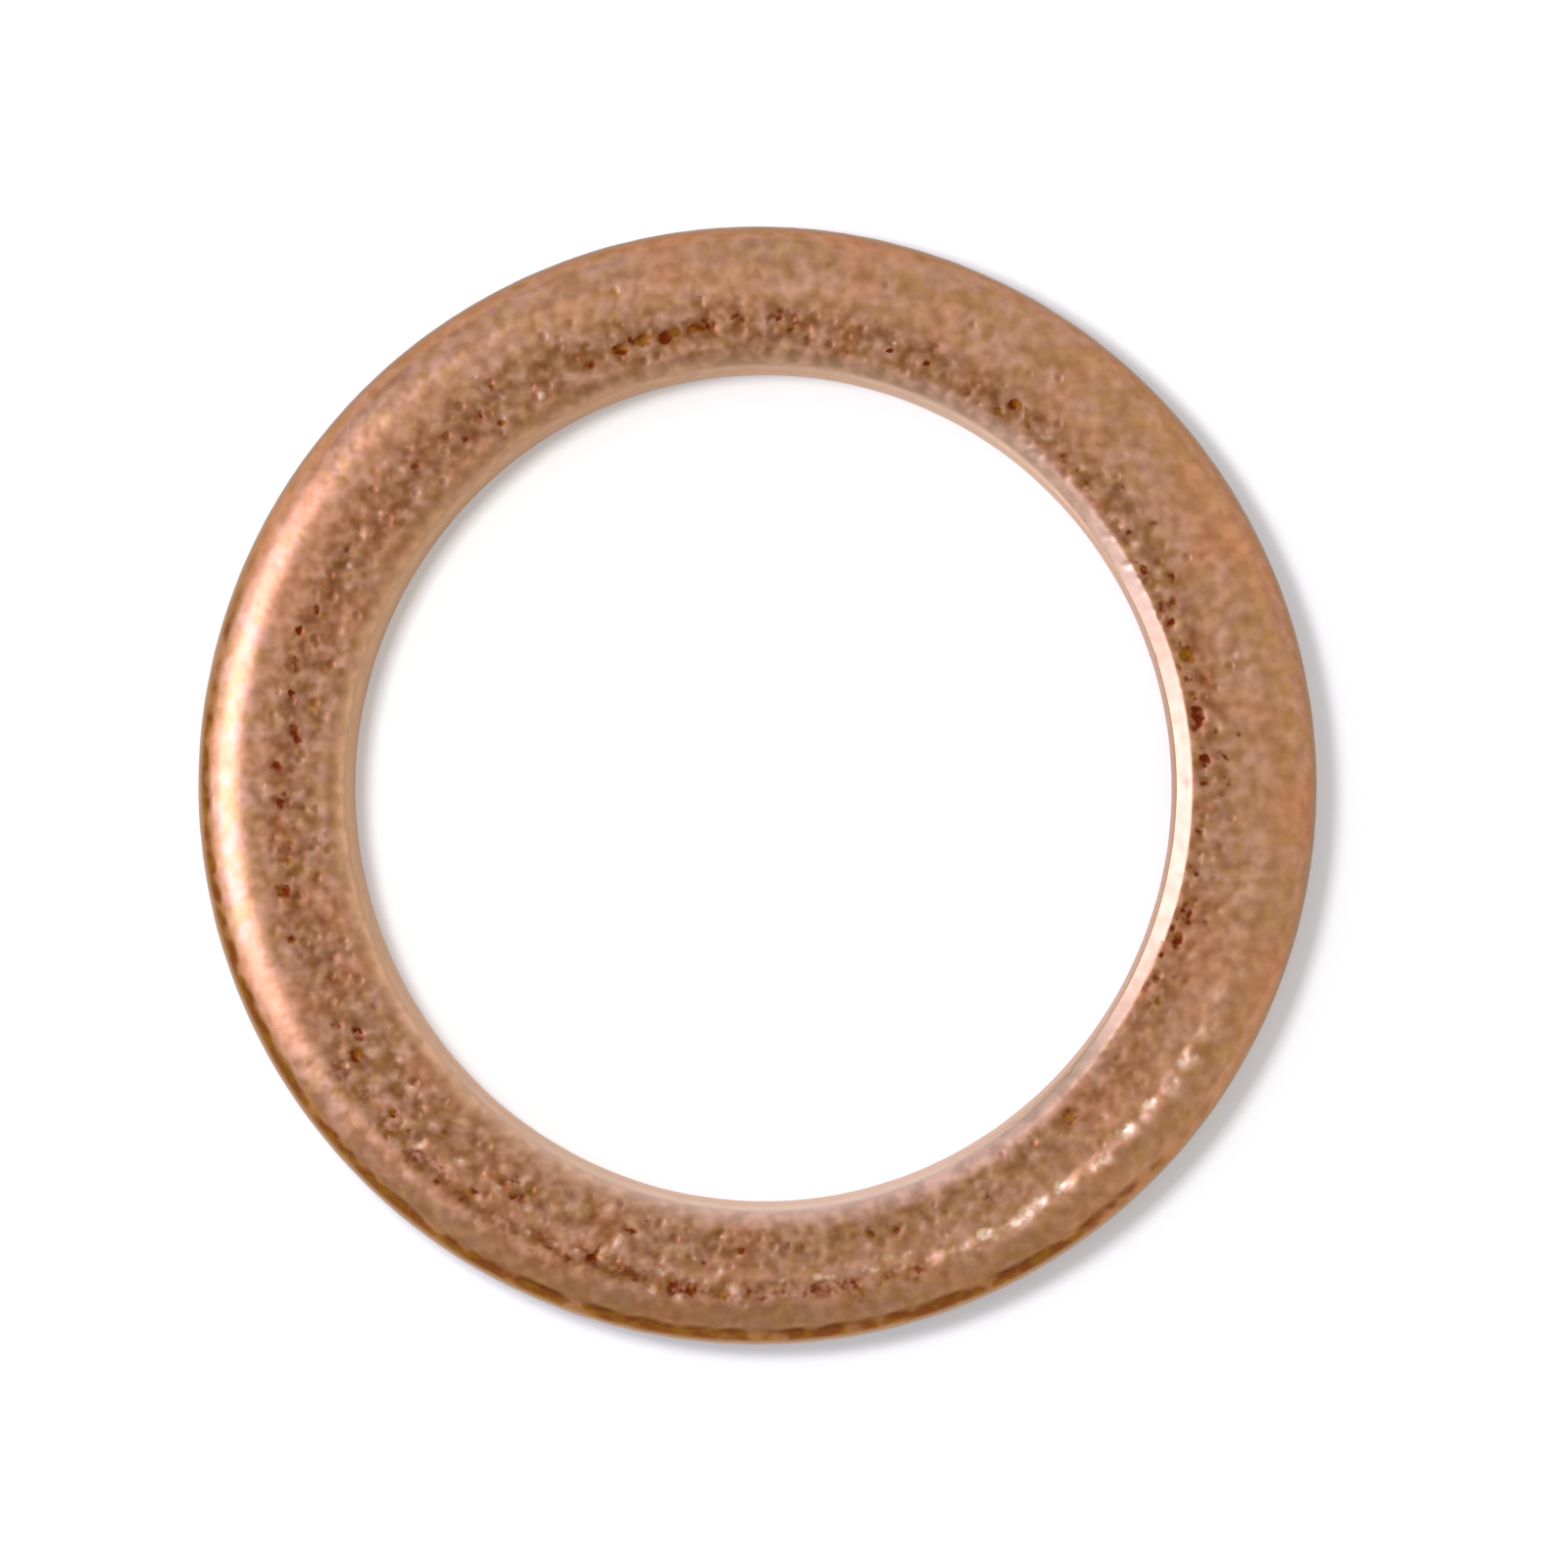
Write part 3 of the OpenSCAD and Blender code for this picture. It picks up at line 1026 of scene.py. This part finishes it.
floor_mesh = bpy.data.meshes.new("floor")
bm = bmesh.new()
bmesh.ops.create_grid(bm, x_segments=1, y_segments=1, size=FLOOR_HALF)
bmesh.ops.translate(bm, verts=bm.verts[:], vec=(0, 0, -FLOOR_GAP))
bm.to_mesh(floor_mesh)
bm.free()
floor = bpy.data.objects.new("floor", floor_mesh)
bpy.context.scene.collection.objects.link(floor)
paper = bpy.data.materials.new("white_paper")
paper.use_nodes = True
surface = paper.node_tree.nodes["Principled BSDF"].inputs
surface["Base Color"].default_value = grey(PAPER_GREY)
surface["Roughness"].default_value = 0.9
surface["Specular IOR Level"].default_value = 0
surface["IOR"].default_value = 1
surface["Emission Color"].default_value = grey(1)
surface["Emission Strength"].default_value = PAPER_GLOW
floor_mesh.materials.append(paper)
print("floor:", round(FLOOR_GAP / MM, 3), "mm below the washer")

# %% [markdown]
# The camera looks straight down from far off, as for a catalogue, so the ring stays round and no wall of
# it shows. Its lens follows from the scale of the picture: so many pixels for each millimetre.

# %% Camera
PIXELS_PER_MM = 52.14
FRAME_PIXELS = 1600
CENTRE_PIXELS = (772.9, 801.6)
CAMERA_DISTANCE = 120 * MM
pixel = MM / PIXELS_PER_MM
camera_data = bpy.data.cameras.new("camera")
camera_data.lens = camera_data.sensor_width * CAMERA_DISTANCE / (FRAME_PIXELS * pixel)
# Nothing stands close to the lens
camera_data.clip_start = CAMERA_DISTANCE / 100
camera = bpy.data.objects.new("camera", camera_data)
camera.location = (
    (FRAME_PIXELS / 2 - CENTRE_PIXELS[0]) * pixel,
    (CENTRE_PIXELS[1] - FRAME_PIXELS / 2) * pixel,
    fold_r + CAMERA_DISTANCE,
)
bpy.context.scene.collection.objects.link(camera)
bpy.context.scene.camera = camera
print(f"camera: {1000 * CAMERA_DISTANCE:.0f} mm up, lens {camera_data.lens:.0f} mm")

# %% [markdown]
# Metal shows what stands round it more than what shines on it. So the room is a soft grey gradient that
# the ring mirrors. It is brighter at the back on the right, and a little bluer straight at the back.
# Panels of light could stand there instead, but the ring would mirror their edges.

# %% Room
# Greys of the room below, about level and overhead, with their heights from 0 to 1
GREY_BELOW, HEIGHT_BELOW = 0.40, 0.30
GREY_LEVEL, HEIGHT_LEVEL = 0.67, 0.55
GREY_ABOVE, HEIGHT_ABOVE = 0.54, 1.0
BRIGHT_SIDE = (0.7, 0.75, 0)
SIDE_DIM, SIDE_BRIGHT = 0.78, 1.35
COOL_SIDE = (-0.3, 0.95, 0)
COOL_FROM = 0.2
COOL = (0.97, 1.05, 1.32, 1)


def agreement(tree, first, second):
    """How far two directions agree: 1 when they are the same, -1 when they are opposite."""
    made = add_node(tree, "ShaderNodeVectorMath", {0: first, 1: second}, operation="DOT_PRODUCT")
    return made.outputs["Value"]


world = bpy.data.worlds.new("studio")
world.use_nodes = True
room = world.node_tree
direction = add_node(room, "ShaderNodeTexCoord").outputs["Generated"]
up = add_node(room, "ShaderNodeSeparateXYZ", {"Vector": direction}).outputs["Z"]
ramp = add_node(room, "ShaderNodeValToRGB", {"Fac": remap(room, up, -1, 1)})
stops = ramp.color_ramp.elements
stops[0].position = HEIGHT_BELOW
stops[0].color = grey(GREY_BELOW)
stops[1].position = HEIGHT_LEVEL
stops[1].color = grey(GREY_LEVEL)
stops.new(HEIGHT_ABOVE).color = grey(GREY_ABOVE)
cool = remap(room, agreement(room, direction, COOL_SIDE), COOL_FROM, 1.0)
side = remap(room, agreement(room, direction, BRIGHT_SIDE), -1, 1, SIDE_DIM, SIDE_BRIGHT)
walls = room.nodes["Background"]
feed(room, walls.inputs["Color"], mix_colours(room, cool, ramp.outputs["Color"], COOL, "MULTIPLY"))
feed(room, walls.inputs["Strength"], side)
print("room without its window:", len(room.nodes), "nodes")

# %% [markdown]
# A tall bright window stands on the left. It is part of the room and not a lamp, so that its edges are
# soft, and so are the lines that it draws along the rim and the bore. It leaves the paper alone, which
# would turn blue, and past the paper the camera sees plain white.

# %% Window
WINDOW_TURN = 177
WINDOW_LIGHT = 4.25
WINDOW_COLOUR = (0.60, 0.67, 1.14, 1)
# From 0 overhead to 1 when level: where the window starts, is full and fades, and its light at the sill
TOP_FROM, TOP_FULL = 0.05, 0.52
SILL_FROM, SILL_LIGHT = 0.86, 0.35
# How well a direction agrees with the window's at the edge of its core and of its faint skirt
CORE_EDGE, CORE_LIGHT = 0.78, 0.92
SKIRT_EDGE, SKIRT_FULL, SKIRT_LIGHT = 0.3, 0.9, 0.10
FAR_WHITE = 0.95
LEVEL_ONLY = (1, 1, 0)
level = add_node(room, "ShaderNodeVectorMath", {0: direction, 1: LEVEL_ONLY}, operation="MULTIPLY")
level = level.outputs[0]
lowness = add_node(room, "ShaderNodeVectorMath", {0: level}, operation="LENGTH").outputs["Value"]
heading = add_node(room, "ShaderNodeVectorMath", {0: level}, operation="NORMALIZE").outputs[0]
towards = agreement(room, heading, on_ring(1, WINDOW_TURN))
sill = remap(room, lowness, SILL_FROM, 1.0, 1.0, SILL_LIGHT)
tall = arithmetic(room, "MULTIPLY", remap(room, lowness, TOP_FROM, TOP_FULL), sill)
core = remap(room, towards, CORE_EDGE, 1.0, 0.0, CORE_LIGHT)
skirt = remap(room, towards, SKIRT_EDGE, SKIRT_FULL, 0.0, SKIRT_LIGHT)
pane = arithmetic(room, "MULTIPLY", arithmetic(room, "ADD", core, skirt), tall)
paths = add_node(room, "ShaderNodeLightPath").outputs
pane = arithmetic(room, "MULTIPLY", pane, arithmetic(room, "SUBTRACT", 1.0, paths["Is Diffuse Ray"]))
window = add_node(room, "ShaderNodeBackground", {"Color": WINDOW_COLOUR})
feed(room, window.inputs["Strength"], arithmetic(room, "MULTIPLY", pane, WINDOW_LIGHT))
lit = add_node(room, "ShaderNodeAddShader", {0: walls.outputs[0], 1: window.outputs[0]})
white = add_node(room, "ShaderNodeBackground", {"Color": grey(FAR_WHITE)})
either = add_node(room, "ShaderNodeMixShader", {1: lit.outputs[0], 2: white.outputs[0]})
feed(room, either.inputs[0], paths["Is Camera Ray"])
feed(room, room.nodes["World Output"].inputs["Surface"], either.outputs[0])
bpy.context.scene.world = world
print("room:", len(room.nodes), "nodes, window at", WINDOW_TURN, "degrees")

# %% [markdown]
# One lamp above gives the washer its shadow, on the right and in front. It is small enough for a shadow
# with a clear edge. The ring doesn't mirror it, so it leaves no spot of its own on the copper.

# %% Lamp
LAMP_TURN = 154
LAMP_ZENITH = 16.5
LAMP_DISTANCE = 68 * MM
LAMP_SIZE = 13 * MM
LAMP_RADIANCE = 46
lamp = bpy.data.lights.new("overhead", "AREA")
lamp.size = LAMP_SIZE
lamp.energy = LAMP_RADIANCE * math.pi * LAMP_SIZE ** 2
overhead = bpy.data.objects.new("overhead", lamp)
zenith = math.radians(LAMP_ZENITH)
overhead.location = on_ring(LAMP_DISTANCE * math.sin(zenith), LAMP_TURN)
overhead.location.z = LAMP_DISTANCE * math.cos(zenith)
overhead.rotation_euler = (-overhead.location).to_track_quat("-Z", "Y").to_euler()
overhead.visible_glossy = False
overhead.visible_camera = False
bpy.context.scene.collection.objects.link(overhead)
bpy.context.scene.view_settings.view_transform = "Standard"
print(f"lamp: {1000 * LAMP_DISTANCE:.0f} mm away, {lamp.energy:.2f} W")
